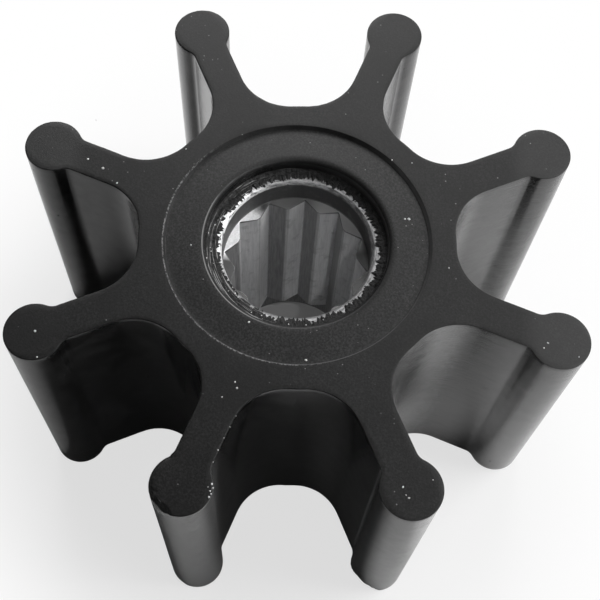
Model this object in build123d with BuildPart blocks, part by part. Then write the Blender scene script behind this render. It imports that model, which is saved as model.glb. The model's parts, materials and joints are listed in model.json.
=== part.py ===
from build123d import *
import os
from math import asin, cos, radians, sin, sqrt

# Flexible pump impeller: a one-piece neoprene moulding on a bonded metal insert with a splined bore.
#
# Millimetres. +Z runs along the bore and the origin is the centre of the lower end face. Both ends are
# alike. The gap between two blades is centred on +X, and the first flute of the spline lies on the centre
# line of the first blade.

# --- Spline and insert -------------------------------------------------------------------------------
flute_count = 12
spline_major_radius = 7.0  # bottom of the flutes
tooth_height = 1.0  # from the bottom of the flutes to the lands of the teeth
tooth_land = 0.4  # width of the flat left on each tooth
counterbore_clearance = 0.15  # counterbore wall outside the flutes
counterbore_depth = 2.8
mouth_chamfer = 0.3
insert_wall = 2.85  # metal outside the counterbore
insert_setback = 1.9  # end of the insert below the end of the rubber
grip_groove_count = 3
grip_groove_width = 2.0
grip_groove_depth = 0.6

# --- Rubber ------------------------------------------------------------------------------------------
tip_diameter = 57.2  # over the round tips, blades straight
impeller_width = 31.8
blade_count = 8
web_thickness = 3.5
tip_radius = 2.8
lip_overlap = 1.3  # rubber lip over the edge of the insert's end face
hub_wall = 5.0  # rubber between the insert and the floor of the gaps
recess_rim = 2.5  # width left between the end recess and the floor of the gaps
recess_depth = 0.5
root_fillet = 5.2  # where a web runs into the floor of a gap
neck_fillet = 1.3  # where a web runs into its round tip
fillet_room = 0.9  # most of the free floor or web that a root fillet may take

# --- Worked out --------------------------------------------------------------------------------------
spline_minor_radius = spline_major_radius - tooth_height
counterbore_radius = spline_major_radius + counterbore_clearance
insert_radius = counterbore_radius + insert_wall
insert_length = impeller_width - 2 * insert_setback
lip_radius = insert_radius - lip_overlap
hub_radius = insert_radius + hub_wall
recess_radius = hub_radius - recess_rim
tip_circle_radius = tip_diameter / 2 - tip_radius
blade_start_angle = 180 / blade_count
flute_pitch = 360 / flute_count
mid_height = impeller_width / 2


def root_fillet_radius():
    """The root fillet, limited by the width of the gap's floor and by the length of the web."""
    half_web = web_thickness / 2
    half_pitch = sin(radians(blade_start_angle))
    floor_limit = (hub_radius * half_pitch - half_web) / (1 - half_pitch)
    neck_rise = half_web + neck_fillet
    web_end = tip_circle_radius - sqrt((tip_radius + neck_fillet) ** 2 - neck_rise**2)
    web_limit = (web_end**2 - hub_radius**2 + half_web**2) / (2 * (hub_radius - half_web))
    return min(root_fillet, fillet_room * floor_limit, fillet_room * web_limit)


def flute_points():
    """One flute along local +X: from the axis to the edges of the lands beside it and to its bottom."""
    land_half_angle = asin(tooth_land / 2 / spline_minor_radius)
    edge_angle = radians(flute_pitch) / 2 - land_half_angle
    edge_x = spline_minor_radius * cos(edge_angle)
    edge_y = spline_minor_radius * sin(edge_angle)
    return [(0, 0), (edge_x, -edge_y), (spline_major_radius, 0), (edge_x, edge_y)]


# Half section of the insert's outside, shared by the insert and by the rubber moulded round it.
with BuildSketch(Plane.XZ) as insert_section:
    with Locations((insert_radius / 2, mid_height)):
        Rectangle(insert_radius, insert_length)
    with Locations((insert_radius, mid_height)):
        with GridLocations(0, insert_length / (grip_groove_count + 1), 1, grip_groove_count):
            Rectangle(2 * grip_groove_depth, grip_groove_width, mode=Mode.SUBTRACT)

# Half section of all that is not rubber round the axis: the insert, the lips' bore and the end recesses.
with BuildSketch(Plane.XZ) as hub_section:
    add(insert_section.sketch)
    with Locations((lip_radius / 2, mid_height)):
        Rectangle(lip_radius, impeller_width)
    with Locations((recess_radius / 2, mid_height)):
        with GridLocations(0, impeller_width - recess_depth, 1, 2):
            Rectangle(recess_radius, recess_depth)

# Hub, webs and round tips, extruded as one outline.
with BuildPart() as rubber_body:
    with BuildSketch() as end_outline:
        Circle(hub_radius)
        with PolarLocations(0, blade_count, blade_start_angle):
            with Locations((tip_circle_radius / 2, 0)):
                Rectangle(tip_circle_radius, web_thickness)
        with PolarLocations(tip_circle_radius, blade_count, blade_start_angle):
            Circle(tip_radius)
        corners = end_outline.vertices().sort_by_distance((0, 0))
        fillet(corners[2 * blade_count :], neck_fillet)
        corners = end_outline.vertices().sort_by_distance((0, 0))
        fillet(corners[: 2 * blade_count], root_fillet_radius())
    extrude(amount=impeller_width)
    revolve(hub_section.sketch, axis=Axis.Z, mode=Mode.SUBTRACT)

rubber_body.part.label = "rubber_body"

# Sleeve with a counterbore at each end and V-shaped flutes broached through the plain bore between them.
with BuildPart() as spline_insert:
    revolve(insert_section.sketch, axis=Axis.Z)
    with BuildSketch(Plane.XY.offset(insert_setback)) as splined_bore:
        Circle(spline_minor_radius)
        with PolarLocations(0, flute_count, blade_start_angle):
            Polygon(*flute_points(), align=None)
    extrude(amount=insert_length, mode=Mode.SUBTRACT)
    end_faces = spline_insert.faces().sort_by(Axis.Z)
    with BuildSketch(end_faces[0], end_faces[-1]):
        Circle(counterbore_radius)
    extrude(amount=-counterbore_depth, mode=Mode.SUBTRACT)
    end_edges = spline_insert.edges().group_by(Axis.Z)
    mouths = [edges.sort_by(SortBy.RADIUS)[0] for edges in (end_edges[0], end_edges[-1])]
    chamfer(mouths, mouth_chamfer)

spline_insert.part.label = "spline_insert"

os.makedirs("parts", exist_ok=True)
export_step(rubber_body.part, "parts/rubber_body.step")
export_step(spline_insert.part, "parts/spline_insert.step")
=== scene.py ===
"""Looks of a flexible pump impeller: a black neoprene moulding on a splined metal insert.

Lengths are in millimetres until a mesh is made, and lamps are placed in metres. The frame is the CAD
part's: +Z along the bore, the origin at the centre of the lower end face, and the gap between two blades
centred on +X. Azimuths are in degrees from +X towards +Y. Tones go from 0, black, to 1, white.
"""

import json
import math
import random

import bmesh
import bpy
import numpy as np
from mathutils import Euler, Matrix, Vector, noise


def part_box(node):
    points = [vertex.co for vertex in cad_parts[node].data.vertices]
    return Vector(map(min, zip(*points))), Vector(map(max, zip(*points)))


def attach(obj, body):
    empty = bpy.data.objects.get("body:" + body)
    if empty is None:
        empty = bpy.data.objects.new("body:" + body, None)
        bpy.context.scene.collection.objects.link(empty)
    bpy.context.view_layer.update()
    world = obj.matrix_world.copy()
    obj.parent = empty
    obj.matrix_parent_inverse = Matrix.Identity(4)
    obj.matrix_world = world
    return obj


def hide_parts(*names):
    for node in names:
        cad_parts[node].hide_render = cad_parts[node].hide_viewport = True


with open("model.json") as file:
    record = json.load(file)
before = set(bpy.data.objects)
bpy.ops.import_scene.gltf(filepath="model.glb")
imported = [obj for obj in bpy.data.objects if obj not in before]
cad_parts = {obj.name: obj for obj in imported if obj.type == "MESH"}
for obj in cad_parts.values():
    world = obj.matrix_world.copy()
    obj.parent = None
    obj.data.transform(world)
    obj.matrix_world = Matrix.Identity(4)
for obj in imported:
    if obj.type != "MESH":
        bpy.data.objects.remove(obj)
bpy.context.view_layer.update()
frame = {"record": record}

MM = 0.001

# --- Sizes from the frame ---------------------------------
rubber_low, rubber_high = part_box("rubber_body")
insert_low, insert_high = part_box("spline_insert")
mounts = {mount["name"]: mount for mount in frame["record"]["mounts"]}
width = (rubber_high.z - rubber_low.z) / MM
insert_radius = insert_high.x / MM
insert_top = insert_high.z / MM
insert_bottom = insert_low.z / MM
insert_middle = (insert_top + insert_bottom) / 2
counterbore_radius = mounts["upper_counterbore"]["dims"]["r_mm"]

# --- Sizes of the moulding --------------------------------
blade_count = 8
web_thickness = 3.5
tip_radius = 2.8
hub_radius = 15.0
root_fillet = 5.2
neck_fillet = 1.3
recess_radius = 12.5
recess_depth = 0.5
recess_edge = 0.08  # rounding where the recess's wall meets the end face
recess_foot = 0.15  # rounding where it meets the recess's floor
recess_slope = 0.26  # width of the recess's sloping wall, half of it outside the recess's radius
slope_turn = 40  # degrees that the roundings turn to meet the sloping wall
lip_radius = 8.7
lip_edge = 0.34
lip_rise = 0.12  # the lip stands a little above the floor of its recess
groove_count = 3
groove_width = 2.0
groove_depth = 0.6
end_edge = 0.11  # rounding where the end faces meet the walls
least_end_edge = 0.03
face_wear = 0.04  # end faces worn below their full height
wall_sink = 0.02  # mean depth of the walls' waviness
recess_top = recess_radius + recess_slope / 2
recess_foot_radius = recess_radius - recess_slope / 2
recess_rim = recess_top + recess_edge
lip_top = lip_radius + lip_edge
half_pitch = math.pi / blade_count
tip_circle_radius = (rubber_high.x / MM - tip_radius) / math.cos(half_pitch)

# --- Damage to the moulding -------------------------------
bevelled_blade = 5
bevel = 0.3
bevel_arc = (95, 250)  # degrees round the bevelled tip
bevel_fade = 15  # degrees over which the bevel starts and ends
edge_wobbles = ((0.35, 0.9, 1), (0.45, 2.6, 8))  # share of the rounding, scale and seed
crisp_x = (4.0, 8.0)  # X over which the end faces' edges grow crisper
crisp_share = 0.7  # share of their rounding that they lose
torn_corners = [
    # blade, direction round its tip, height, tilt of the tear, depth
    (6, 228, 0.0, -22, 0.8),
    (5, 220, width, 40, 0.5),
]
tear_roughness = 0.12
tear_reach = 3 * tip_radius  # how far from a corner its tear is made
neck_highlight_place = (7.3, -22.4)  # place on the plan of a neck where a highlight is painted
lit_tip_blade = 5

# --- Sizes of the insert ----------------------------------
flute_count = 12
spline_major_radius = 7.0
spline_minor_radius = 6.0
tooth_land = 0.4
flute_root = 0.03  # blunt bottom of a flute
counterbore_depth = 2.8
mouth_chamfer = 0.3
ledge_slope = 0.14  # fall of the ledge towards the axis, left by the drill
ledge_corner = (0.06, 0.08)  # broken corner between the ledge and the counterbore's wall
burr_break = 0.06  # broken edge at the ends of the flutes
mouth_break = (0.03, 0.01)  # width and depth of the broken edge round the mouth's chamfer
least_ledge = 0.02  # ledge left at the bottoms of the flutes

# --- Sizes of the rubber flash ----------------------------
flash_reach = 7.6  # mean radius of its torn edge
flash_lean = (0.2, 30)  # how much further out the edge lies on one side, and that side
flash_tears = ((0.16, 0.6, 3, 3), (0.42, 4.2, 4, 5))  # size, scale, seed and octaves of the wobbles
flash_clearance = 0.12  # least distance from the counterbore
flash_overlap = 0.05  # how far the film runs in under the lip
flash_base = 0.05  # its thickness at the torn edge
flash_steps = ((0.10, 0.0, 3.0), (0.22, 0.6, 2.5))  # rises towards the lip: height, start, steepness
flash_crumbs = 0.05
flash_ripple = (0.03, 38)  # height and radians per mm
flash_thinnest = 0.02
flash_gap = 0.004  # between the film's underside and the metal
flash_path = 8  # radius of the ring on which the noise of the tears is read

# --- Dust on the upper faces: pixels across and down, radius
picture_size = 600
face_dust = [
    (88, 159, 0.10), (103, 168, 0.11), (117, 183, 0.11), (35, 331, 0.10), (37, 357, 0.09),
    (403, 487, 0.11), (409, 498, 0.09), (406, 495, 0.06), (433, 480, 0.06), (235, 382, 0.08),
    (237, 388, 0.08), (222, 397, 0.06), (548, 343, 0.09), (544, 348, 0.06), (579, 357, 0.07),
    (96, 120, 0.06), (186, 149, 0.08), (392, 160, 0.07), (412, 163, 0.07), (449, 268, 0.07),
    (212, 484, 0.09), (213, 488, 0.08), (210, 491, 0.10), (211, 494, 0.07), (209, 497, 0.08),
    (208, 487, 0.05), (236, 416, 0.05), (230, 427, 0.06), (224, 438, 0.05), (218, 450, 0.06),
    (213, 462, 0.05),
]
recess_dust = [
    (405, 219, 0.12), (409, 219, 0.11), (191, 245, 0.08), (249, 322, 0.12), (306, 360, 0.10),
]
dust_seed = 5

# --- Steps of the meshes ----------------------------------
tip_steps = 26
neck_steps = 6
web_steps = 13
root_steps = 14
gap_steps = 4
chord_steps = 8
chord_count = tip_steps + neck_steps + web_steps  # rows of the grid across a blade
hub_rows = 8
wall_rows = 52
edge_steps = 4
recess_rows = 7
lip_rows = 4
face_loops = 10
wall_loops = 6
flute_loops = 10
first_flute_loop = 0.5  # below the ledge
flash_columns = 900
flash_rows = 12
weld_distance = 2e-4

# --- Camera -----------------------------------------------
camera_place = (-3.003, -49.83, 126.165)
camera_turn = (24.222, -0.319, 0.965)  # degrees
camera_lens = 68.02
camera_sensor = 36.0
camera_shift = (0.0633, 0.0167)
nearest_seen = 0.01  # m

# --- Light ------------------------------------------------
soft_lamps = [
    # name, azimuth, elevation, distance, size, power
    ("key", 14, 46, 0.6, 0.42, 3.3),
    ("back", 90, 38, 0.6, 0.35, 1.9),
]
bore_lamp = (295, 69, 0.4, 5.4)  # azimuth, elevation, distance, power
bore_lamp_size = 0.012
bore_lamp_spread = 0.8  # how far its beam reaches past the counterbore
bore_lamp_fade = 0.4
backdrop_height = 0.06  # the world is white up to here, as the sine of the elevation
ceiling_height = 0.28  # and dim from here up
ceiling_level = 0.04
dim_side = 205.0  # azimuth where the horizon is dimmer
dim_span = (0.0, 0.8)  # cosine of the angle from it, over which the horizon dims
dim_level = 0.35

# --- Floor ------------------------------------------------
floor_half_width = 1500.0
floor_tone = 0.93
bore_shade_tone = 0.12  # painted shade: the floor that shows through the bore is coloured dark grey
bore_fade = (counterbore_radius + 0.5, counterbore_radius + 2)  # radii between the two tones
shadow_inner = 27.0  # radius of the object on the floor
shadow_outer = 52.0  # radius beyond which the floor turns white
near_lift = 0.7  # how far the camera's view of the floor is turned to white round the object
far_lift = 0.3  # and how much more beyond the shadow
bore_lift = 0.06  # the same under the bore, for every ray: a faint painted light on the painted shade
mirror_lift = 0.9  # how white the floor's far parts are in reflections: a painted reflection
mirror_north = (18.0, 28.0)  # Y from which the mirrored floor turns white
mirror_east = (14.0, 20.0)  # X from which it does, where X - Y is large as well
mirror_south_east = (30.0, 40.0)  # X - Y over which that starts
pocket_glow_centre = (15.0, -12.0)  # middle of a patch that glows only in reflections, a painted reflection in the walls of one pocket
pocket_spread = (1.5, 5.5)  # radii over which it fades
pocket_lift = 0.4


# --- Small helpers ----------------------------------------
def turned(points, angle):
    """Points in the plane turned about the axis."""
    c, s = math.cos(angle), math.sin(angle)
    return points @ np.array([[c, s], [-s, c]])


def wobble(points, scale, seed, octaves=3):
    """Fractal noise between about -1 and 1 at each point, with features of about 1/scale mm."""
    shift = Vector((seed * 17.3, seed * 5.1, seed * 9.7))
    return np.array([noise.fractal(Vector(p) * scale + shift, 1.0, 2.0, octaves) for p in points])


def smooth_step(value):
    """0 below 0, 1 above 1 and a smooth rise between."""
    share = np.clip(value, 0, 1)
    return share * share * (3 - 2 * share)


def linked(name, data):
    """A new object in the scene."""
    made = bpy.data.objects.new(name, data)
    bpy.context.scene.collection.objects.link(made)
    return made


def mesh_object(name, patches, shape=None, sharp_angle=35):
    """An object from grids of points, welded where they meet. shape moves the welded points."""
    mesh = bpy.data.meshes.new(name)
    grid = bmesh.new()
    for patch in patches:
        rows, columns = patch.shape[:2]
        corners = [[grid.verts.new(point) for point in row] for row in patch]
        for i in range(rows - 1):
            for j in range(columns - 1):
                low, high = corners[i], corners[i + 1]
                grid.faces.new((low[j], low[j + 1], high[j + 1], high[j]))
    bmesh.ops.remove_doubles(grid, verts=grid.verts, dist=weld_distance)
    bmesh.ops.recalc_face_normals(grid, faces=grid.faces)
    grid.to_mesh(mesh)
    grid.free()
    points = np.zeros(len(mesh.vertices) * 3)
    mesh.vertices.foreach_get("co", points)
    points = points.reshape(-1, 3)
    if shape:
        points = shape(points)
    mesh.vertices.foreach_set("co", (points * MM).ravel())
    mesh.polygons.foreach_set("use_smooth", [True] * len(mesh.polygons))
    mesh.set_sharp_from_angle(angle=math.radians(sharp_angle))
    mesh.update()
    return linked(name, mesh)


# --- Outline of the moulding ------------------------------
def blade_angle(blade):
    """Azimuth of one blade in radians. Blade 0 is the first one anticlockwise from +X."""
    return half_pitch * (2 * blade + 1)


def tip_centre(blade):
    """Middle of one blade's round tip on the plan."""
    angle = blade_angle(blade)
    return tip_circle_radius * np.array([math.cos(angle), math.sin(angle)])


def arc(centre, radius, start, end, steps, outward):
    """Rows of point and outward normal along an arc. outward is 1 if it is convex and -1 in a fillet."""
    angles = np.linspace(start, end, steps + 1)
    spokes = np.column_stack([np.cos(angles), np.sin(angles)])
    return np.hstack([np.array(centre) + radius * spokes, outward * spokes])


def half_blade():
    """Rows of point and normal along one side of a blade, from its tip to the middle of the gap."""
    half_web = web_thickness / 2
    neck_y = half_web + neck_fillet
    neck_x = tip_circle_radius - math.sqrt((tip_radius + neck_fillet) ** 2 - neck_y**2)
    root_y = half_web + root_fillet
    root_x = math.sqrt((hub_radius + root_fillet) ** 2 - root_y**2)
    neck_angle = math.atan2(neck_y, neck_x - tip_circle_radius)
    root_angle = math.atan2(root_y, root_x)
    down = -math.pi / 2
    tip = arc((tip_circle_radius, 0), tip_radius, 0, neck_angle, tip_steps, 1)
    neck = arc((neck_x, neck_y), neck_fillet, neck_angle - math.pi, down, neck_steps, -1)
    web = [(x, half_web, 0, 1) for x in np.linspace(neck_x, root_x, web_steps + 1)[1:-1]]
    root = arc((root_x, root_y), root_fillet, down, root_angle - math.pi, root_steps, -1)
    gap = arc((0, 0), hub_radius, root_angle, half_pitch, gap_steps, 1)
    return np.vstack([tip, neck[1:], web, root, gap[1:]])


def whole_outline():
    """All blades' outlines in one ring, anticlockwise: points, outward normals and where a tip lies."""
    half = half_blade()
    mirror = np.array([1, -1, 1, -1])
    blade = np.vstack([half[:0:-1] * mirror, half])[:-1]
    angles = [blade_angle(i) for i in range(blade_count)]
    points = np.vstack([turned(blade[:, :2], angle) for angle in angles])
    normals = np.vstack([turned(blade[:, 2:], angle) for angle in angles])
    return points, normals, len(half) - 1


outline, outline_normals, tip_index = whole_outline()
blade_points = len(outline) // blade_count


def edge_radius():
    """Rounding of the end faces' edges at each point of the outline, uneven as on a worn moulding."""
    flat = np.column_stack([outline, np.zeros(len(outline))])
    radius = end_edge * (1 + sum(share * wobble(flat, *shape) for share, *shape in edge_wobbles))
    crisp = smooth_step((outline[:, 0] - crisp_x[0]) / (crisp_x[1] - crisp_x[0]))
    radius *= 1 - crisp_share * crisp
    spoke = outline - tip_centre(bevelled_blade)
    turn = np.degrees(np.arctan2(spoke[:, 1], spoke[:, 0])) % 360
    near = np.linalg.norm(spoke, axis=1) < tip_radius + 0.05
    start, end = bevel_arc
    share = smooth_step((turn - start) / bevel_fade) * smooth_step((end - turn) / bevel_fade) * near
    return np.maximum(radius, least_end_edge) + bevel * share


edge_radii = edge_radius()


def ring(inset, z):
    """The outline moved inwards by inset and lifted to z."""
    flat = outline - outline_normals * np.broadcast_to(inset, len(outline))[:, None]
    return np.column_stack([flat, np.broadcast_to(z, len(outline))])


def closed(points):
    """A ring of points with the first one repeated at its end."""
    return np.vstack([points, points[:1]])


# --- Rubber -----------------------------------------------
def wall_patch():
    """The blades' and gaps' walls with the rounded edges at both ends."""
    low, high = face_wear, width - face_wear
    edge = []
    for turn in np.linspace(math.pi / 2, 0, edge_steps + 1):
        edge.append((edge_radii * (1 - math.cos(turn)), edge_radii * (1 - math.sin(turn))))
    rows = [ring(inset, low + rise) for inset, rise in edge]
    shares = np.linspace(0, 1, wall_rows + 1)[1:-1]
    rows += [ring(0, low + edge_radii + share * (high - low - 2 * edge_radii)) for share in shares]
    rows += [ring(inset, high - rise) for inset, rise in edge[::-1]]
    return np.array([closed(row) for row in rows])


def chord(edge, blade, step):
    """Points straight across a blade at one step from its tip."""
    tip = blade * blade_points + tip_index
    low = edge[(tip - step) % len(edge)]
    high = edge[(tip + step) % len(edge)]
    return np.linspace(low, high, chord_steps + 1)


def end_patches(z):
    """One end face, as grids across each blade and from its root to the recess, and their azimuths."""
    edge = ring(edge_radii, z)
    patches = []
    root_angles = []
    for blade in range(blade_count):
        patches.append(np.array([chord(edge, blade, step) for step in range(chord_count + 1)]))
        start = blade * blade_points
        tip = start + tip_index
        low_side = edge[start : tip - chord_count]
        high_side = edge[np.arange(tip + chord_count + 1, start + blade_points + 1) % len(edge)]
        border = np.vstack([low_side, chord(edge, blade, chord_count), high_side])
        angles = np.arctan2(border[:, 1], border[:, 0])
        rim = recess_rim * np.column_stack([np.cos(angles), np.sin(angles)])
        rim = np.column_stack([rim, np.full(len(rim), z)])
        patches.append(np.linspace(rim, border, hub_rows + 1))
        root_angles.append(angles[:-1])
    return patches, np.concatenate(root_angles)


def rounding(r, z, radius, start, end):
    """Profile points (r, z) round a small arc, from one angle in degrees to another."""
    angles = np.radians(np.linspace(start, end, edge_steps + 1))
    return [(r + radius * math.cos(angle), z + radius * math.sin(angle)) for angle in angles]


def recess_floor(radius):
    """Depth of an end recess's floor, which rises a little towards the lip."""
    share = (recess_foot_radius - radius) / (recess_foot_radius - lip_top)
    return recess_depth - lip_rise * min(max(share, 0), 1)


def end_profile():
    """From the recess's rim over the lip to the insert, as radius and depth below the end face."""
    setback = width - insert_top
    lip_bend = recess_depth - lip_rise + lip_edge
    profile = rounding(recess_rim, face_wear + recess_edge, recess_edge, -90, -90 - slope_turn)
    profile += rounding(recess_foot_radius, recess_depth - recess_foot, recess_foot, 90 - slope_turn, 90)
    floor = np.linspace(recess_foot_radius, lip_top, recess_rows + 1)[1:-1]
    profile += [(radius, recess_floor(radius)) for radius in floor]
    profile += rounding(lip_top, lip_bend, lip_edge, -90, -180)
    profile += [(lip_radius, depth) for depth in np.linspace(lip_bend, setback, lip_rows + 1)[1:]]
    profile += [(insert_radius, setback)]
    return profile


def core_profile():
    """Grip ribs of the rubber in the insert's outside grooves, as (r, z) from the top down."""
    pitch = (insert_top - insert_bottom) / (groove_count + 1)
    inner = insert_radius - groove_depth
    profile = []
    for groove in range(groove_count, 0, -1):
        middle = insert_bottom + pitch * groove
        high, low = middle + groove_width / 2, middle - groove_width / 2
        profile += [(insert_radius, high), (inner, high), (inner, low), (insert_radius, low)]
    return profile


def revolved(profile, angles):
    """A grid of a profile of (r, z) points turned about the axis."""
    return np.array([[(r * math.cos(a), r * math.sin(a), z) for a in angles] for r, z in profile])


def cut_corner(points, blade, side, height, tilt, depth):
    """The points with a corner of a tip torn off, down to a rough plane that faces side and tilt."""
    side, tilt = math.radians(side), math.radians(tilt)
    spoke = np.array([math.cos(side), math.sin(side)])
    facing = np.array([*(spoke * math.cos(tilt)), math.sin(tilt)])
    corner = np.array([*(tip_centre(blade) + tip_radius * spoke), height])
    near = np.linalg.norm(points - corner, axis=1) < tear_reach
    proud = (points - corner) @ facing + depth
    proud[near] += tear_roughness * wobble(points[near], scale=1.4, seed=9)
    return points - np.outer(np.where(near, np.maximum(proud, 0), 0), facing)


def worn(points):
    """The moulding's points with a moulded surface's waviness and its torn corners."""
    reach = np.linalg.norm(points[:, :2], axis=1)
    radial = points[:, :2] / np.maximum(reach, 1e-6)[:, None]
    waves = wobble(points * [1, 1, 0.4], scale=0.12, seed=2, octaves=2)
    sink = wall_sink * (1 + waves) * (reach > recess_radius + 1)
    points = points - np.column_stack([radial * np.maximum(sink, 0)[:, None], np.zeros(len(points))])
    for corner in torn_corners:
        points = cut_corner(points, *corner)
    return points


def rubber():
    """The whole moulding in one mesh, with the cavity that the insert fills."""
    top, angles = end_patches(width - face_wear)
    bottom, _ = end_patches(face_wear)
    angles = np.append(angles, angles[0] + 2 * math.pi)
    lip = end_profile()
    profile = [(r, width - d) for r, d in lip] + core_profile() + [(r, d) for r, d in lip[::-1]]
    return mesh_object("rubber_moulding", [wall_patch(), *top, *bottom, revolved(profile, angles)], worn)


# --- Insert -----------------------------------------------
def star():
    """Outline of the splined bore, anticlockwise, with a flute in line with the first blade."""
    pitch = 2 * math.pi / flute_count
    land_half = math.asin(tooth_land / 2 / spline_minor_radius)
    edge_angle = pitch / 2 - land_half
    edge = np.array([math.cos(edge_angle), math.sin(edge_angle)]) * spline_minor_radius
    bottom = np.array([spline_major_radius, 0.0])
    shares = np.array([0.02, 0.05, 0.1, 0.18, 0.3, 0.45, 0.6, 0.75, 0.88, 0.96, 1.0])[:, None]
    flank = bottom + shares * (edge - bottom)
    root = np.array([[spline_major_radius - flute_root, 0.0]])
    land = np.linspace(edge_angle, pitch / 2, 3)[1:]
    land = spline_minor_radius * np.column_stack([np.cos(land), np.sin(land)])
    half = np.vstack([root, flank, land])
    flute = np.vstack([half[:0:-1] * [1, -1], half])[:-1]
    return np.vstack([turned(flute, blade_angle(0) + pitch * i) for i in range(flute_count)])


def insert():
    """The metal sleeve: its end faces, counterbores, ledges, flutes and outside grooves."""
    bore = star()
    reach = np.linalg.norm(bore, axis=1)[:, None]
    spokes = bore / reach

    def circle(radius, z):
        return closed(np.column_stack([spokes * radius, np.full(len(spokes), z)]))

    def flutes(z, widen=0.0):
        grown = spokes * np.minimum(reach + widen, counterbore_radius - least_ledge)
        return closed(np.column_stack([grown, np.full(len(bore), z)]))

    def end_loops(side):
        """Loops from the insert's rim over its end face and counterbore to the middle of the flutes."""
        face = insert_middle + side * (insert_top - insert_middle)
        ledge = face - side * counterbore_depth
        mouth = counterbore_radius + mouth_chamfer
        break_width, break_depth = mouth_break
        corner_width, corner_height = ledge_corner
        loops = [circle(r, face) for r in np.linspace(insert_radius, mouth + break_width, face_loops)]
        loops += [circle(mouth, face - side * break_depth)]
        loops += [circle(counterbore_radius, face - side * mouth_chamfer)]
        depths = np.linspace(mouth_chamfer, counterbore_depth - corner_height, wall_loops)[1:]
        loops += [circle(counterbore_radius, face - side * depth) for depth in depths]
        loops += [circle(counterbore_radius - corner_width, ledge)]
        loops += [flutes(ledge, burr_break), flutes(ledge - side * burr_break)]
        for loop in loops[-2:]:
            inset = counterbore_radius - np.linalg.norm(loop[:, :2], axis=1)
            loop[:, 2] -= side * inset * ledge_slope
        first = ledge - side * first_flute_loop
        loops += [flutes(z) for z in np.linspace(first, insert_middle, flute_loops)]
        return loops

    outside = [circle(r, z) for r, z in core_profile()[::-1]]
    loops = end_loops(1) + end_loops(-1)[-2::-1] + outside
    loops.append(loops[0])
    return mesh_object("splined_insert", [np.array(loops)], sharp_angle=28)


# --- Rubber flash over the insert's end faces -------------
def flash(name, side):
    """A thin ragged film of rubber left on the insert's end face, from the lip inwards."""
    face = insert_top if side > 0 else insert_bottom
    angles = np.linspace(0, 2 * math.pi, flash_columns, endpoint=False)
    spokes = np.column_stack([np.cos(angles), np.sin(angles)])
    level = np.full(flash_columns, side)
    round_path = np.column_stack([spokes, level]) * flash_path
    lean, lean_side = flash_lean
    ripple, turns = flash_ripple
    reach = flash_reach + lean * np.cos(angles - math.radians(lean_side))
    for size, *shape in flash_tears:
        reach += size * wobble(round_path, *shape)
    reach = np.maximum(reach, counterbore_radius + flash_clearance)
    top = []
    for share in np.linspace(0, 1, flash_rows):
        radius = reach + share * (lip_radius + flash_overlap - reach)
        spot = np.column_stack([spokes * radius[:, None], level])
        climb = sum(rise * smooth_step((share - start) * steep) for rise, start, steep in flash_steps)
        crumbs = flash_crumbs * wobble(spot, scale=3.2, seed=5, octaves=4)
        crumbs += ripple * np.sin(radius * turns + 2 * wobble(spot, scale=0.4, seed=6))
        height = np.maximum(flash_base + climb + crumbs * (share > 0), flash_thinnest)
        top.append(closed(np.column_stack([spot[:, :2], face + side * height])))
    under = [np.column_stack([row[:, :2], np.full(len(row), face + side * flash_gap)]) for row in top]
    loops = top + under[::-1]
    loops.append(loops[0])
    return mesh_object(name, [np.array(loops)], sharp_angle=50)


# --- Dust -------------------------------------------------
def on_plane(pixel, height):
    """The point at a height seen at a pixel of a square picture of picture_size pixels."""
    camera = bpy.context.scene.camera
    data = camera.data
    across = (pixel[0] / picture_size - 0.5 + data.shift_x) * data.sensor_width
    up = (0.5 - pixel[1] / picture_size + data.shift_y) * data.sensor_width
    ray = camera.rotation_euler.to_matrix() @ Vector((across, up, -data.lens))
    start = camera.location / MM
    return start + ray * ((height - start.z) / ray.z)


def dust():
    """Grains stuck to the upper faces, each a flattened pebble sunk halfway into the rubber."""
    places = [(on_plane(pixel, width - face_wear), size) for *pixel, size in face_dust]
    for *pixel, size in recess_dust:
        spot = on_plane(pixel, width - recess_depth)
        places.append((on_plane(pixel, width - recess_floor(spot.xy.length)), size))
    mesh = bpy.data.meshes.new("dust_grains")
    grains = bmesh.new()
    chance = random.Random(dust_seed)
    for spot, size in places:
        stretch = [chance.uniform(0.7, 1.3) for _ in range(2)]
        shape = Matrix.LocRotScale(spot, Euler((0, 0, chance.uniform(0, 6))), (*stretch, face_wear / size))
        bmesh.ops.create_icosphere(grains, subdivisions=2, radius=size, matrix=Matrix.Scale(MM, 4) @ shape)
    grains.to_mesh(mesh)
    grains.free()
    return linked("dust_grains", mesh)


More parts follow.
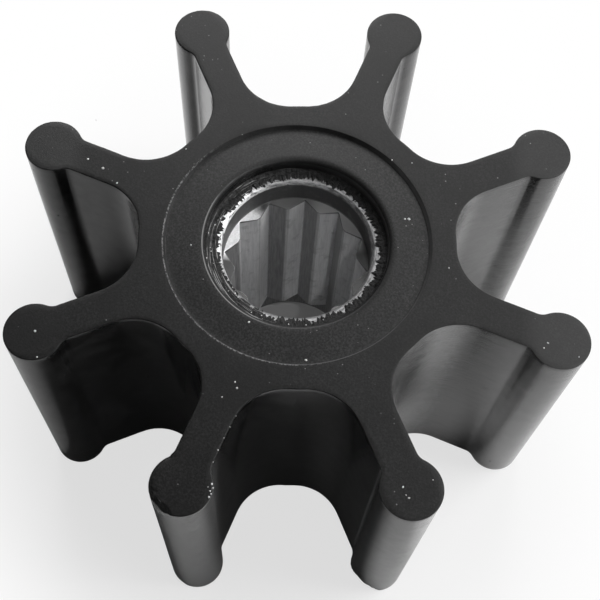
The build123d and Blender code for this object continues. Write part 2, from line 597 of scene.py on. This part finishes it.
# --- Nodes ------------------------------------------------
class Nodes:
    """Short names for making the nodes and links of a material or a world.

    place is the point in millimetres, or the direction looked in if the owner is a world.
    """

    def __init__(self, owner, output="OutputMaterial", coordinates="Object", unit=MM):
        owner.use_nodes = True
        self.tree = owner.node_tree
        self.tree.nodes.clear()
        self.output = self.new(output)
        source = self.new("TexCoord")
        self.place = self.stretched(source.outputs[coordinates], (1 / unit,) * 3)

    def new(self, kind):
        return self.tree.nodes.new("ShaderNode" + kind)

    def put(self, socket, value):
        """Links a socket into an input, or sets the input to a plain value."""
        if isinstance(value, bpy.types.NodeSocket):
            self.tree.links.new(value, socket)
        else:
            socket.default_value = value

    def fill(self, node, **inputs):
        """Puts values into a node's inputs, which are named here with _ for each space."""
        for name, value in inputs.items():
            self.put(node.inputs[name.replace("_", " ")], value)

    def stretched(self, vector, factors):
        node = self.new("VectorMath")
        node.operation = "MULTIPLY"
        self.put(node.inputs[0], vector)
        self.put(node.inputs[1], factors)
        return node.outputs["Vector"]

    def math(self, operation, first, second=0.0, third=0.0, clamp=False):
        node = self.new("Math")
        node.operation = operation
        node.use_clamp = clamp
        for socket, value in zip(node.inputs, (first, second, third)):
            self.put(socket, value)
        return node.outputs["Value"]

    def times(self, first, *others):
        """Product of several values."""
        for other in others:
            first = self.math("MULTIPLY", first, other)
        return first

    def scaled(self, value, factor, start):
        """A value times a factor, counted from a start."""
        return self.math("MULTIPLY_ADD", value, factor, start)

    def rest(self, value, clamp=False):
        """What is left of 1."""
        return self.math("SUBTRACT", 1.0, value, clamp=clamp)

    def most(self, first, *others):
        """The largest of several values."""
        for other in others:
            first = self.math("MAXIMUM", first, other)
        return first

    def ramp(self, value, low, high, to_low=0.0, to_high=1.0):
        """A smooth change from to_low to to_high while a value goes from low to high."""
        node = self.new("MapRange")
        node.interpolation_type = "SMOOTHSTEP"
        self.fill(node, Value=value, From_Min=low, From_Max=high, To_Min=to_low, To_Max=to_high)
        return node.outputs["Result"]

    def band(self, value, base, rise, fall):
        """1 on a band of a value and 0 beside it. rise and fall are pairs counted from the base."""
        up = self.ramp(value, base + rise[0], base + rise[1])
        return self.math("SUBTRACT", up, self.ramp(value, base + fall[0], base + fall[1]))

    def noise(self, scale, stretch=(1, 1, 1), detail=2.0, roughness=0.5, seed=0.0, place=None):
        """Noise between 0 and 1 with features of about 1/scale mm. stretch scales each axis."""
        node = self.new("TexNoise")
        node.noise_dimensions = "4D"
        vector = self.stretched(place or self.place, stretch)
        self.fill(node, Vector=vector, W=seed, Scale=scale, Detail=detail, Roughness=roughness)
        return node.outputs["Fac"]

    def specks(self, scale, size, share, seed=0.0):
        """Sparse round specks: 1 inside a speck and 0 outside."""
        cells = self.new("TexVoronoi")
        cells.voronoi_dimensions = "4D"
        self.fill(cells, Vector=self.place, W=seed, Scale=scale)
        near = self.ramp(cells.outputs["Distance"], size * 0.6, size, 1.0, 0.0)
        split = self.new("SeparateColor")
        self.fill(split, Color=cells.outputs["Color"])
        return self.times(near, self.math("GREATER_THAN", split.outputs["Red"], 1 - share))

    def separate(self, vector):
        node = self.new("SeparateXYZ")
        self.fill(node, Vector=vector)
        return node.outputs

    def square_distance(self, point=None):
        """Square of the distance on the plan from a point, or from the axis."""
        place = self.separate(self.place)
        x, y = place["X"], place["Y"]
        if point:
            x, y = self.math("SUBTRACT", x, point[0]), self.math("SUBTRACT", y, point[1])
        return self.scaled(x, x, self.times(y, y))

    def radius(self):
        """Distance from the axis."""
        return self.math("SQRT", self.square_distance())

    def along(self, azimuth):
        """Distance from the axis towards an azimuth."""
        place = self.separate(self.place)
        angle = math.radians(azimuth)
        return self.scaled(place["Y"], math.sin(angle), self.times(place["X"], math.cos(angle)))

    def toward(self, azimuth):
        """1 on the side that an azimuth points to, -1 opposite and 0 between."""
        return self.math("DIVIDE", self.along(azimuth), self.radius())

    def polar(self, out, around):
        """Coordinates for marks that run round the axis: out scales the radius, around the turn."""
        place = self.separate(self.place)
        combined = self.new("CombineXYZ")
        for side in "XY":
            turn = self.math("DIVIDE", place[side], self.radius())
            self.put(combined.inputs[side], self.times(turn, around))
        self.put(combined.inputs["Z"], self.times(self.radius(), out))
        return combined.outputs[0]

    def normal(self):
        return self.separate(self.new("NewGeometry").outputs["Normal"])

    def levelness(self):
        """1 on a level face and 0 on an upright one."""
        return self.math("ABSOLUTE", self.normal()["Z"])

    def bump(self, height, strength, distance, under=None):
        node = self.new("Bump")
        self.fill(node, Height=height, Strength=strength, Distance=distance * MM)
        if under is not None:
            self.fill(node, Normal=under)
        return node.outputs["Normal"]

    def tone(self, level):
        """A neutral colour from a level."""
        node = self.new("CombineColor")
        for socket in node.inputs[:3]:
            self.put(socket, level)
        return node.outputs["Color"]

    def mix(self, share, first, second):
        """The first colour with a share of the second laid over it."""
        node = self.new("Mix")
        node.data_type = "RGBA"
        self.put(node.inputs["Factor"], share)
        colours = [socket for socket in node.inputs if socket.type == "RGBA"]
        for socket, value in zip(colours, (first, second)):
            self.put(socket, value)
        return [socket for socket in node.outputs if socket.type == "RGBA"][0]

    def surface(self, colour, roughness, **inputs):
        """The material's shader."""
        shader = self.new("BsdfPrincipled")
        self.fill(shader, Base_Color=colour, Roughness=roughness, **inputs)
        self.finish(shader)
        return shader

    def finish(self, shader):
        self.fill(self.output, Surface=shader.outputs[0])


def new_material(name):
    material = bpy.data.materials.new(name)
    return material, Nodes(material)


def grey(level):
    return (level, level, level, 1.0)


def steel(level):
    """A grey with a trace of blue."""
    return (level, level, level * 1.01, 1.0)


# --- Rubber's materials -----------------------------------
# Azimuths of the sides that differ
highlight_and_grit_side = 205.0  # a painted highlight runs along the recess's upper edge, and the flash is gritty
lip_highlight_side = 190.0  # a painted highlight, a pale line, runs round the lip
scratched_side = 185.0  # the flash is scratched
shaded_side = 20.0  # painted shade darkens the recess's and the lip's edges on this side, which are also duller

# Spans over which marks come up or fade
rim_highlight_line = ((-0.04, 0.0), (0.08, 0.14))  # both sides of the line, from the recess's upper edge
lip_line = ((0.20, 0.26), (0.30, 0.36))  # both sides of the line, from the lip's radius
# Painted light in the pockets on one side and on one blade's tip
lit_pocket_x, lit_pocket_y, lit_pocket_z = (1.0, 9.0), (12.0, 6.0), (0.0, 30.0)
lit_pocket_radii = (hub_radius + 0.5, hub_radius + 3.5)
lit_tip_radii = (22.0, 24.0)
neck_highlight_spread = (0.05, 0.25)  # square of the distance from its middle
scuff_x = (2.0, 14.0)
# Painted sheen on the end faces' tips at the sides
sheen_tip_x = (20.0, 22.5)
sheen_tip_back = (-13.0, -4.0)  # counted to the back, a little askew
recess_border = (recess_radius - 0.1, recess_radius + 0.1)
shaded_recess = (hub_radius - 1.6, hub_radius - 1.2)
shaded_lip = (lip_radius + 0.3, lip_radius + 0.8)

# Specks: cells to a millimetre, size in cells, share of the cells, seed
rubber_dust = (0.5, 0.055, 0.3, 1.0)
wall_specks = (1.2, 0.11, 0.2, 2.0)
wall_pits = (0.7, 0.11, 0.4, 12.0)
end_specks = (2.1, 0.15, 0.46, 2.0)
flash_grit = (3.2, 0.26, 0.46, 7.0)

# Tones
black = 0.002
black_rubber = grey(black)
grained_rubber = grey(0.014)
filmed_rubber = grey(0.03)
painted_light_grey = grey(0.22)
rim_highlight_grey = grey(0.2)


def rubber_grain(nodes):
    return nodes.noise(5.0, detail=3.0, roughness=0.8)


def painted_rim_highlight(nodes, grain):
    """A painted highlight: a pale broken line along the upper edge of the end recesses, on one side."""
    line = nodes.band(nodes.radius(), recess_top, *rim_highlight_line)
    side = nodes.ramp(nodes.toward(highlight_and_grit_side), 0.1, 0.6)
    return nodes.times(line, side, nodes.ramp(grain, 0.44, 0.60))


def painted_shade_edge(nodes, full, end):
    """Mask of painted shade: 1 within a radius, fading to 0 at another, on the side where the inner edges
    are painted dark.
    """
    near = nodes.ramp(nodes.radius(), full, end, 1.0, 0.0)
    return nodes.times(near, nodes.ramp(nodes.toward(shaded_side), -0.2, 0.4))


def moulded_neoprene():
    """The walls, as moulded: satin, mottled, pitted and scuffed, with painted light in the pockets on one
    side and on one tip, painted highlights and painted shade.
    """
    material, nodes = new_material("neoprene_moulded")
    place = nodes.separate(nodes.place)
    grain = rubber_grain(nodes)
    mottle = nodes.noise(0.55, detail=3.0, roughness=0.55, seed=9.0)
    patches = nodes.ramp(mottle, 0.3, 0.7)
    colour = nodes.mix(nodes.ramp(grain, 0.35, 0.75), black_rubber, grained_rubber)
    colour = nodes.mix(nodes.ramp(mottle, 0.3, 0.8), colour, filmed_rubber)

    # Painted light, mottled: strongest beside the hub and low down in the pockets on one side, and on one
    # blade's tip.
    pocket = nodes.times(nodes.ramp(place["X"], *lit_pocket_x), nodes.ramp(place["Y"], *lit_pocket_y))
    low = nodes.ramp(place["Z"], *lit_pocket_z, 1.0, 0.6)
    beside_hub = nodes.ramp(nodes.radius(), *lit_pocket_radii, 1.0, 0.1)
    tip = nodes.ramp(nodes.toward(math.degrees(blade_angle(lit_tip_blade))), 0.97, 0.99)
    tip = nodes.times(tip, nodes.ramp(nodes.radius(), *lit_tip_radii, 0.0, 0.6))
    painted_light = nodes.most(nodes.times(pocket, low, beside_hub), tip)
    colour = nodes.mix(nodes.times(painted_light, nodes.ramp(mottle, 0.3, 0.7, 0.7, 1.0)), colour, painted_light_grey)

    # Painted highlights on the recess's edge and on one neck, then dust and pits.
    colour = nodes.mix(painted_rim_highlight(nodes, grain), colour, rim_highlight_grey)
    neck_highlight = nodes.ramp(nodes.square_distance(neck_highlight_place), *neck_highlight_spread, 1.0, 0.0)
    colour = nodes.mix(nodes.times(neck_highlight, nodes.ramp(grain, 0.35, 0.6)), colour, grey(0.3))
    colour = nodes.mix(nodes.times(nodes.specks(*wall_specks), 0.7), colour, grey(0.12))
    colour = nodes.mix(nodes.specks(*rubber_dust), colour, grey(0.4))
    pits = nodes.specks(*wall_pits)
    colour = nodes.mix(nodes.times(pits, 0.8), colour, grey(0.003))

    # Painted shade darkens the recess's and the lip's walls on one side. Roughness and gloss, each changed
    # in turn by the mottling, the scuffs, the pits, the shade and the edges.
    streaks = nodes.noise(1.0, (0.3, 0.3, 7.0), detail=3.0, roughness=0.75, seed=5.0)
    scuff = nodes.times(nodes.ramp(streaks, 0.4, 0.64), nodes.ramp(place["X"], *scuff_x))
    shade = painted_shade_edge(nodes, *shaded_recess)
    colour = nodes.mix(nodes.times(shade, 0.5), colour, black_rubber)
    edge = nodes.ramp(nodes.levelness(), 0.05, 0.3)
    rough = 0.11
    for mark, change in ((patches, 0.04), (scuff, 0.04), (pits, 0.4), (shade, 0.35), (edge, 0.3)):
        rough = nodes.scaled(mark, change, rough)
    gloss = 0.52
    for mark, change in ((patches, -0.08), (scuff, -0.16), (pits, -0.34)):
        gloss = nodes.scaled(mark, change, gloss)
    gloss = nodes.times(gloss, nodes.scaled(shade, -0.4, 1.0), nodes.scaled(edge, -0.5, 1.0))
    height = nodes.scaled(scuff, 0.6, nodes.math("ADD", grain, mottle))
    normal = nodes.bump(height, 0.14, 0.05)
    nodes.surface(colour, rough, Normal=normal, IOR=1.7, Specular_IOR_Level=gloss)
    return material


def ground_neoprene():
    """The end faces and the recesses: matte, grainy and dusty, with a painted sheen that makes the tips at
    the sides paler, painted highlights on one side and painted shade round the lip.
    """
    material, nodes = new_material("neoprene_ground")
    place = nodes.separate(nodes.place)
    grain = rubber_grain(nodes)
    blotch = nodes.noise(0.22, detail=2.0, seed=3.0)
    recess = nodes.ramp(nodes.radius(), *recess_border, 1.0, 0.0)
    pale = nodes.scaled(recess, 0.014, nodes.ramp(blotch, 0.3, 0.7, 0.006, 0.015))
    level = nodes.scaled(nodes.ramp(grain, 0.38, 0.72), pale, black)
    # Painted sheen: the tips at the sides are paler, more so towards the back.
    sheen_tips = nodes.ramp(nodes.math("ABSOLUTE", place["X"]), *sheen_tip_x)
    back = nodes.ramp(nodes.scaled(place["X"], 0.4, place["Y"]), *sheen_tip_back, 0.25, 1.0)
    level = nodes.scaled(nodes.times(sheen_tips, back), 0.016, level)
    colour = nodes.mix(nodes.specks(*end_specks), nodes.tone(level), grey(0.2))
    colour = nodes.mix(nodes.specks(*rubber_dust), colour, grey(0.5))

    # Painted highlights: a pale line round the lip on one side, and one along the recess's upper edge.
    line = nodes.band(nodes.radius(), lip_radius, *lip_line)
    line = nodes.times(line, nodes.ramp(nodes.toward(lip_highlight_side), 0.3, 0.8), nodes.ramp(blotch, 0.3, 0.5))
    colour = nodes.mix(line, colour, grey(0.16))
    colour = nodes.mix(painted_rim_highlight(nodes, grain), colour, rim_highlight_grey)

    # Painted shade round the lip on one side: a darker colour and less gloss.
    shade = painted_shade_edge(nodes, *shaded_lip)
    colour = nodes.mix(nodes.times(shade, 0.5), colour, grey(0.001))
    edge = nodes.ramp(nodes.levelness(), 0.80, 0.97, 1.0, 0.0)
    rough = nodes.scaled(edge, 0.3, nodes.scaled(grain, 0.24, 0.30))
    gloss = nodes.scaled(shade, -0.12, 0.34)
    normal = nodes.bump(grain, 0.3, 0.05)
    nodes.surface(colour, rough, Normal=normal, IOR=1.5, Specular_IOR_Level=gloss)
    return material


def flash_rubber():
    """The torn film of rubber: crumbly with pale grit and scratches on one side, plain on the other."""
    material, nodes = new_material("flash_rubber")
    grain = nodes.noise(5.0, detail=5.0, roughness=0.7, seed=8.0)
    grit = nodes.times(nodes.specks(*flash_grit), nodes.ramp(nodes.toward(highlight_and_grit_side), -0.1, 0.4))
    scratch = nodes.noise(1.0, detail=3.0, roughness=0.6, seed=15.0, place=nodes.polar(9.0, 2.5))
    scratched = nodes.ramp(nodes.toward(scratched_side), 0.1, 0.6)
    scratch = nodes.times(nodes.ramp(scratch, 0.54, 0.62), scratched)
    colour = nodes.mix(nodes.ramp(grain, 0.4, 0.75), black_rubber, grey(0.02))
    colour = nodes.mix(scratch, colour, grey(0.24))
    colour = nodes.mix(grit, colour, grey(0.7))
    rough = nodes.scaled(grain, 0.4, 0.35)
    normal = nodes.bump(grain, 0.8, 0.08)
    nodes.surface(colour, rough, Normal=normal, IOR=1.5, Specular_IOR_Level=0.3)
    return material


def pale_dust():
    material, nodes = new_material("pale_dust")
    grain = nodes.noise(9.0, detail=2.0, seed=11.0)
    nodes.surface(nodes.mix(nodes.ramp(grain, 0.3, 0.7), grey(0.35), grey(0.85)), 0.8)
    return material


# --- Insert's material ------------------------------------
lit_ledge_side = 150.0  # azimuth of the ledge's side that painted light keeps bright
paler_shade_side = 45.0  # azimuth where the ledge's painted shade is paler
mouth_highlight_side = 165.0  # azimuth of a painted highlight on the mouth
flank_highlight_side = 135.0  # azimuth of a flank with a painted highlight
mouth_fade = 0.15  # below the mouth's chamfer
below_ledge_fade = (-0.35, -0.1)  # heights from the ledge between which the marks below it end
upper_half = (insert_middle - 1, insert_middle + 1)  # Z over which the counterbore wall's darker colour starts
mouth_pits = (2.6, 0.24, 0.45, 14.0)  # specks, as in the rubber
plain_steel = (steel(0.18), steel(0.34))  # darkest and palest
bright_steel = (steel(0.78), steel(0.98))
torn_steel = (steel(0.12), steel(0.42))
chamfer_steel = (steel(0.05), steel(0.16))


def insert_metal():
    """Dull metal: broached along the flutes, torn round the mouths and less metallic below them, darker on
    the upper counterbore's wall, with painted light on the flanks and ledges and a painted highlight on
    the mouths.
    """
    material, nodes = new_material("insert_metal")
    place = nodes.separate(nodes.place)
    facing = nodes.normal()
    mouth_height = insert_top - insert_middle - mouth_chamfer
    ledge_height = insert_top - insert_middle - counterbore_depth
    height = nodes.math("ABSOLUTE", nodes.math("SUBTRACT", place["Z"], insert_middle))
    mouth = nodes.ramp(height, mouth_height - mouth_fade, mouth_height)
    below = nodes.ramp(height, *(ledge_height + fade for fade in below_ledge_fade), 1.0, 0.0)
    level = nodes.ramp(nodes.levelness(), 0.5, 0.9)
    ledge = nodes.times(level, nodes.rest(mouth))
    upper = nodes.ramp(place["Z"], *upper_half)
    wall = nodes.times(nodes.rest(nodes.most(mouth, below, level)), upper)
    axial = nodes.noise(1.0, (5.0, 5.0, 0.35), detail=4.0, roughness=0.7, seed=2.0)
    grain = nodes.noise(4.0, detail=4.0, roughness=0.75, seed=4.0)
    residue = nodes.noise(0.7, detail=4.0, roughness=0.6, seed=6.0)
    turnings = nodes.noise(1.0, detail=4.0, roughness=0.7, seed=13.0, place=nodes.polar(6.0, 8.0))

    # Flutes: painted light makes the flanks that face clockwise bright, and one more flank.
    left, right = nodes.times(place["X"], facing["Y"]), nodes.times(place["Y"], facing["X"])
    turn = nodes.math("SUBTRACT", left, right)
    flank_highlight = nodes.ramp(nodes.toward(flank_highlight_side), 0.988, 0.992, 0.0, 0.75)
    lit_flanks = nodes.times(nodes.most(nodes.ramp(turn, -2.0, 2.0, 1.0, 0.0), flank_highlight), below)
    lines = nodes.ramp(axial, 0.3, 0.7)
    plain, bright = nodes.mix(lines, *plain_steel), nodes.mix(lines, *bright_steel)
    colour = nodes.mix(nodes.most(lit_flanks, ledge), plain, bright)
    # The upper counterbore's wall is darker.
    colour = nodes.mix(nodes.times(wall, 0.9), colour, steel(0.05))
    colour = nodes.mix(nodes.times(nodes.ramp(residue, 0.52, 0.7), 0.35), colour, grey(0.2))

    # Ledge: painted light keeps one side bright, and painted shade darkens the rest, paler on one side.
    toward_lit_side = nodes.math("ADD", nodes.toward(lit_ledge_side), nodes.scaled(residue, 0.16, -0.08))
    shaded_ledge = nodes.times(ledge, nodes.rest(nodes.ramp(toward_lit_side, 0.84, 0.94)))
    paler_shade = nodes.ramp(nodes.toward(paler_shade_side), 0.80, 0.95)
    film = nodes.mix(nodes.ramp(nodes.toward(paler_shade_side + 20), 0.60, 0.80), grey(0.08), grey(0.22))
    colour = nodes.mix(shaded_ledge, colour, nodes.mix(paler_shade, film, grey(0.5)))

    # Mouth: torn and scratched round, with dark pits and a painted highlight on one side, streaked along
    # the scratches.
    torn = nodes.mix(nodes.ramp(turnings, 0.32, 0.66), *torn_steel)
    mouth_highlight = nodes.times(nodes.ramp(nodes.toward(mouth_highlight_side), 0.5, 0.9), nodes.ramp(turnings, 0.36, 0.56))
    torn = nodes.mix(mouth_highlight, torn, steel(0.95))
    torn = nodes.mix(nodes.specks(*mouth_pits), torn, grey(0.04))
    chamfer = nodes.mix(nodes.ramp(turnings, 0.3, 0.7), *chamfer_steel)
    colour = nodes.mix(mouth, colour, nodes.mix(level, chamfer, torn))

    rough = 0.26
    for mark, change in ((axial, 0.16), (mouth, 0.22), (wall, 0.35)):
        rough = nodes.scaled(mark, change, rough)
    rugged = nodes.times(grain, nodes.math("ADD", mouth, 0.25))
    normal = nodes.bump(rugged, 0.6, 0.06, nodes.bump(axial, 0.22, 0.03))
    less_metal = nodes.scaled(wall, 0.95, nodes.times(below, 0.75))
    less_metal = nodes.scaled(nodes.times(shaded_ledge, paler_shade), 0.3, less_metal)
    nodes.surface(colour, rough, Normal=normal, Metallic=nodes.rest(less_metal, clamp=True))
    return material


# --- Stage ------------------------------------------------
def pale_floor():
    """A pale floor, with painted shade under the bore, where it is dark grey. To the camera it turns white
    away from the object.

    Near the object its shadow is only lifted. Mirrored, it glows white to the north (+Y) and the east (+X)
    and pale in one pocket: painted reflections.
    """
    material, nodes = new_material("pale_floor")
    place = nodes.separate(nodes.place)
    path = nodes.new("LightPath")
    radius = nodes.radius()
    inside = nodes.ramp(radius, *bore_fade, 1.0, 0.0)
    near = nodes.ramp(radius, bore_fade[1], hub_radius, 0.0, near_lift)
    far = nodes.ramp(radius, shadow_inner, shadow_outer, 0.0, far_lift)
    seen = nodes.times(nodes.math("ADD", near, far), path.outputs["Is Camera Ray"])

    # Painted reflections: parts of the floor glow white to reflected rays only.
    north = nodes.ramp(place["Y"], *mirror_north, 0.0, mirror_lift)
    south_east = nodes.ramp(nodes.math("SUBTRACT", place["X"], place["Y"]), *mirror_south_east)
    east = nodes.times(south_east, nodes.ramp(place["X"], *mirror_east, 0.0, mirror_lift))
    pocket = nodes.math("SQRT", nodes.square_distance(pocket_glow_centre))
    pocket = nodes.ramp(pocket, *pocket_spread, pocket_lift, 0.0)
    reflected = nodes.most(path.outputs["Is Glossy Ray"], path.outputs["Is Transmission Ray"])
    mirrored = nodes.times(nodes.most(north, east, pocket), reflected)

    colour = nodes.mix(inside, grey(floor_tone), grey(bore_shade_tone))
    matte = nodes.surface(colour, 0.9, Specular_IOR_Level=0.0)
    white = nodes.new("Emission")
    blend = nodes.new("MixShader")
    lift = nodes.math("ADD", nodes.math("ADD", seen, mirrored), nodes.times(inside, bore_lift))
    for socket, value in zip(blend.inputs, (lift, matte.outputs[0], white.outputs[0])):
        nodes.put(socket, value)
    nodes.finish(blend)
    return material


def make_floor():
    half = floor_half_width
    corners = np.array([[(-half, -half, 0), (half, -half, 0)], [(-half, half, 0), (half, half, 0)]])
    floor = mesh_object("floor", [corners])
    floor.data.materials.append(pale_floor())


def make_world():
    """A white band round the horizon, like a backdrop, dimmer on one side, under a dim ceiling."""
    world = bpy.data.worlds.new("studio")
    nodes = Nodes(world, "OutputWorld", "Generated", 1.0)
    height = nodes.separate(nodes.place)["Z"]
    level = nodes.ramp(height, backdrop_height, ceiling_height, 1.0, ceiling_level)
    dim = nodes.ramp(nodes.along(dim_side), *dim_span, 1.0, dim_level)
    background = nodes.new("Background")
    nodes.fill(background, Color=grey(1.0), Strength=nodes.times(level, dim))
    nodes.finish(background)
    bpy.context.scene.world = world


def lamp(name, kind, azimuth, elevation, distance, power, target=(0, 0, 0)):
    """A lamp at a distance from its target, aimed at it."""
    data = bpy.data.lights.new(name, kind)
    data.energy = power
    made = linked(name, data)
    a, e = math.radians(azimuth), math.radians(elevation)
    back = Vector((math.cos(a) * math.cos(e), math.sin(a) * math.cos(e), math.sin(e)))
    made.location = back * distance + Vector(target)
    made.rotation_euler = back.to_track_quat("Z", "Y").to_euler()
    return data


def make_lamps():
    """Soft square lamps on the object, and a narrow one that shines down the bore and nowhere else."""
    for name, azimuth, elevation, distance, size, power in soft_lamps:
        soft = lamp(name, "AREA", azimuth, elevation, distance, power)
        soft.shape = "SQUARE"
        soft.size = size
    azimuth, elevation, distance, power = bore_lamp
    spot = lamp("bore_light", "SPOT", azimuth, elevation, distance, power, (0, 0, insert_top * MM))
    spot.spot_size = 2 * math.atan((counterbore_radius + bore_lamp_spread) * MM / distance)
    spot.spot_blend = bore_lamp_fade
    spot.shadow_soft_size = bore_lamp_size


def make_camera():
    data = bpy.data.cameras.new("camera")
    data.sensor_width = camera_sensor
    data.lens = camera_lens
    data.shift_x, data.shift_y = camera_shift
    data.clip_start = nearest_seen
    camera = linked("camera", data)
    camera.location = Vector(camera_place) * MM
    camera.rotation_euler = Euler([math.radians(angle) for angle in camera_turn])
    bpy.context.scene.camera = camera


# --- Build ------------------------------------------------
body = rubber()
body.data.materials.append(moulded_neoprene())
body.data.materials.append(ground_neoprene())
for face in body.data.polygons:
    face.material_index = int(abs(face.normal.z) > 0.5)
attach(body, "root")
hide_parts("rubber_body")

sleeve = insert()
sleeve.data.materials.append(insert_metal())
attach(sleeve, "root")
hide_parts("spline_insert")

film = flash_rubber()
for film_name, film_side in (("upper_flash", 1), ("lower_flash", -1)):
    film_piece = flash(film_name, film_side)
    film_piece.data.materials.append(film)
    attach(film_piece, "root")

make_camera()
grains = dust()
grains.data.materials.append(pale_dust())
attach(grains, "root")

make_floor()
make_world()
make_lamps()
bpy.context.scene.view_settings.view_transform = "Standard"
